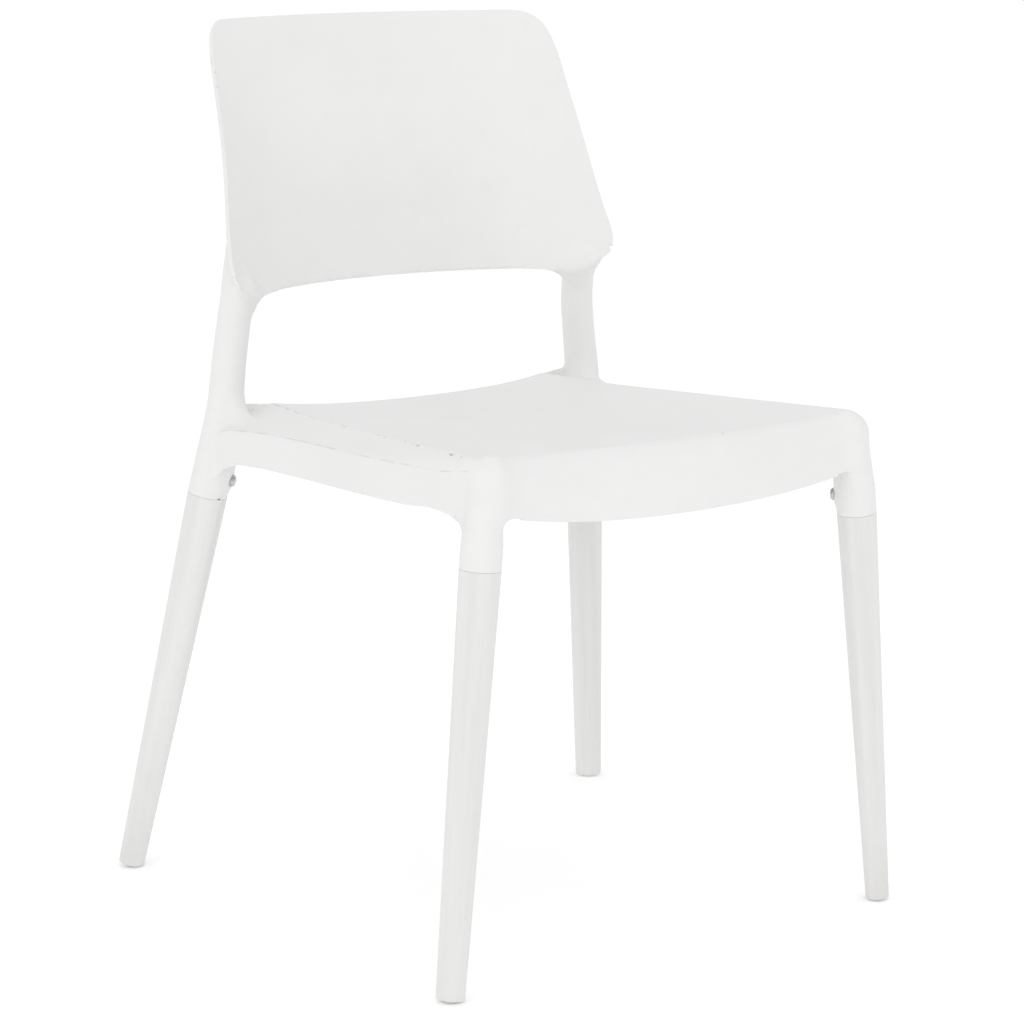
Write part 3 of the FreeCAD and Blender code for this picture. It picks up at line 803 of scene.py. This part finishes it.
def lower_curves():
    """Sharp lower edges of the rails, the skirt and the apron, outer and inner."""
    curves = []
    y = np.arange(-226, 138, CURVE_STEP)
    x = np.arange(0, 172, CURVE_STEP)
    edge = rear_edge_y(x)
    top = apron_z(x)
    for wall in (0, WALL):
        rail = np.stack([rail_half(y) - wall, y, along_table(RAIL, y, 1)], 1)
        skirt = np.stack([x, np.full_like(x, CREST_FRONT_Y - SKIRT_WIDE + wall), skirt_low(x)], 1)
        apron = np.stack([x, edge + APRON_ROLL - wall, top - APRON_TALL], 1)
        curves += [mirrored(rail), mirrored(skirt), mirrored(apron)]
    return curves


def back_curves():
    """Sharp edges of the backrest's rim, front and back."""
    rim = [(0.0, BACK_RIM_Z)] + back_outline()
    points = []
    for (ax, az), (bx, bz) in zip(rim, rim[1:]):
        count = max(2, int(math.hypot(bx - ax, bz - az) / CURVE_STEP))
        for share in np.arange(count) / count:
            points.append((ax + (bx - ax) * share, az + (bz - az) * share))
    x, z = np.array(points).T
    front = back_face_y(x, z)
    behind = front + BACK_THICK * back_slant(x, z)
    return [mirrored(np.stack([x, front, z], 1)), mirrored(np.stack([x, behind, z], 1))]


def socket_curve(end):
    """Round edge at the socket's end."""
    foot, up, inward, long = leg_axes(end)
    across = np.cross(up, inward)
    joint = foot + up * (long + JOINT_GAP)
    angle = np.arange(0, 2 * math.pi, 0.008)[:, None]
    ring = joint + TOP_DIA[end] / 2 * (np.cos(angle) * inward + np.sin(angle) * across)
    return mirrored(ring)


grid = moulding_field()
sharp_curves = [crest_curve(), socket_curve("front"), socket_curve("rear")] + lower_curves()
points, quads = surface_net(grid, sharp_curves, back_curves())
moulding = new_piece("frame_moulding", points, quads, frame_plastic)
side_way = np.abs(points[:, 0])
line_z = along_table(RAIL, points[:, 1], 2)
on_side = (side_way > LINE_SIDE) & (points[:, 1] < LINE_REAR_Y) & (points[:, 1] > LINE_FRONT_Y)
mould_line = np.where(on_side, points[:, 2] - line_z, NO_LINE)
attribute = moulding.data.attributes.new("mould_line", "FLOAT", "POINT")
attribute.data.foreach_set("value", mould_line.astype(np.float32))
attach(moulding, "root")
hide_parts("chair_frame")
print("frame moulding: %d quads" % len(quads))


# ---------------------------------------------------------------- seat pan

def seat_pan():
    """Dished pan with a small rounded upper edge and a small chamfer below."""
    across = 97
    along = 121
    s = np.sin(np.linspace(-1, 1, across) * math.pi / 2)
    t = (1 - np.cos(np.linspace(0, 1, along) * math.pi)) / 2
    rings = [(0.15, -0.12), (0.0, -0.5), (0.0, -PAN_THICK + 0.3)]

    def place(inset, below):
        """Grid of points over the pan, drawn in from its edge and set below its top."""
        half_front = crest_half(CREST_FRONT_Y) - PAN_GAP - inset
        rows = []
        for share in t:
            x = s * half_front
            start = np.full_like(x, CREST_FRONT_Y + PAN_GAP + inset)
            radius = CREST_CORNER - inset
            over = np.maximum(np.abs(x) - (half_front - radius), 0)
            start = start + radius - np.sqrt(np.maximum(radius ** 2 - over ** 2, 0))
            y = start + share * (REAR_EDGE_MID - start)
            x = x * (crest_half(y) - PAN_GAP - inset) / half_front
            end = rear_edge_y(x) - PAN_GAP - inset
            y = y + share * (end - REAR_EDGE_MID)
            rows.append(np.stack([x, y, pan_z(x, y) + below], 1))
        return np.array(rows)

    top = place(0.5, 0.0)
    border = [(i, 0) for i in range(along)] + [(along - 1, j) for j in range(1, across)]
    border += [(i, across - 1) for i in range(along - 2, -1, -1)]
    border += [(0, j) for j in range(across - 2, 0, -1)]
    points = top.reshape(-1, 3).tolist()
    faces = []
    for i in range(along - 1):
        for j in range(across - 1):
            a = i * across + j
            faces.append((a, a + 1, a + across + 1, a + across))
    previous = [i * across + j for i, j in border]
    for inset, below in rings:
        layer = place(inset, below)
        start = len(points)
        points += [layer[i, j].tolist() for i, j in border]
        current = list(range(start, start + len(border)))
        for k in range(len(border)):
            m = (k + 1) % len(border)
            faces.append((previous[m], previous[k], current[k], current[m]))
        previous = current
    low = place(0.3, -PAN_THICK)
    start = len(points)
    points += low.reshape(-1, 3).tolist()
    for i in range(along - 1):
        for j in range(across - 1):
            a = start + i * across + j
            faces.append((a, a + across, a + across + 1, a + 1))
    inner = [start + i * across + j for i, j in border]
    for k in range(len(border)):
        m = (k + 1) % len(border)
        faces.append((previous[m], previous[k], inner[k], inner[m]))
    return points, faces


points, faces = seat_pan()
pan = new_piece("seat_pan_moulding", points, faces, seat_plastic)
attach(pan, "root")
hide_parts("seat_pan")


# ---------------------------------------------------------------- legs, screws and glides

for end in ENDS:
    for side in SIDES:
        tag = end + "_" + side
        sign = SIDES[side]
        foot = Vector(FOOT[end])
        joint = Vector(JOINT[end])
        foot.x *= sign
        joint.x *= sign
        lean = (joint - foot).normalized().rotation_difference(Vector((0, 0, 1))).to_euler()
        wood = lacquered_wood("leg_wood_" + tag, lean)
        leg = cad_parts["leg_" + tag]
        leg.data.materials.clear()
        leg.data.materials.append(wood)
        for node, material in (("leg_insert_" + tag, brass), ("leg_screw_" + tag, steel),
                               ("glide_" + tag, glide_plastic)):
            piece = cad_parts[node]
            piece.data.materials.clear()
            piece.data.materials.append(material)
for side in SIDES:
    for where in ("front", "middle", "rear"):
        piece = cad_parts["seat_screw_%s_%s" % (where, side)]
        piece.data.materials.clear()
        piece.data.materials.append(steel)


# ---------------------------------------------------------------- stage, light and camera

def stage_floor():
    mesh = bpy.data.meshes.new("floor")
    reach = FLOOR_REACH
    corners = [(-reach, -reach, 0), (reach, -reach, 0), (reach, reach, 0), (-reach, reach, 0)]
    mesh.from_pydata(corners, [], [(0, 1, 2, 3)])
    material, _, surface = tree_of("floor_paper")
    surface.inputs["Base Color"].default_value = (0.93, 0.93, 0.93, 1)
    surface.inputs["Roughness"].default_value = 0.9
    surface.inputs["Specular IOR Level"].default_value = 0.0
    surface.inputs["Emission Color"].default_value = (1, 1, 1, 1)
    surface.inputs["Emission Strength"].default_value = 0.15
    mesh.materials.append(material)
    floor = bpy.data.objects.new("floor", mesh)
    bpy.context.scene.collection.objects.link(floor)
    return floor


def soft_light(name, place, size, power):
    data = bpy.data.lights.new(name, "AREA")
    data.shape = "DISK"
    data.size = size
    data.energy = power
    light = bpy.data.objects.new(name, data)
    bpy.context.scene.collection.objects.link(light)
    light.location = place
    light.rotation_mode = "QUATERNION"
    light.rotation_quaternion = (Vector(LIGHT_TARGET) - Vector(place)).to_track_quat("-Z", "Y")


stage_floor()
for name, place, size, power in LIGHTS:
    soft_light(name, place, size, power)

scene = bpy.context.scene
world = bpy.data.worlds.new("studio")
world.use_nodes = True
world.node_tree.nodes["Background"].inputs["Color"].default_value = (1, 1, 1, 1)
world.node_tree.nodes["Background"].inputs["Strength"].default_value = WORLD_STRENGTH
scene.world = world
scene.view_settings.view_transform = "Standard"
scene.view_settings.look = "None"

camera_data = bpy.data.cameras.new("camera")
camera_data.sensor_width = 36.0
camera_data.lens = CAMERA_LENS
camera_data.clip_end = 100.0
camera = bpy.data.objects.new("camera", camera_data)
scene.collection.objects.link(camera)
camera.location = CAMERA_PLACE
camera.rotation_mode = "XYZ"
camera.rotation_euler = (math.radians(90 - CAMERA_DOWN), 0, math.radians(CAMERA_HEADING))
scene.camera = camera


# ---------------------------------------------------------------- view layer update

bpy.context.view_layer.update()
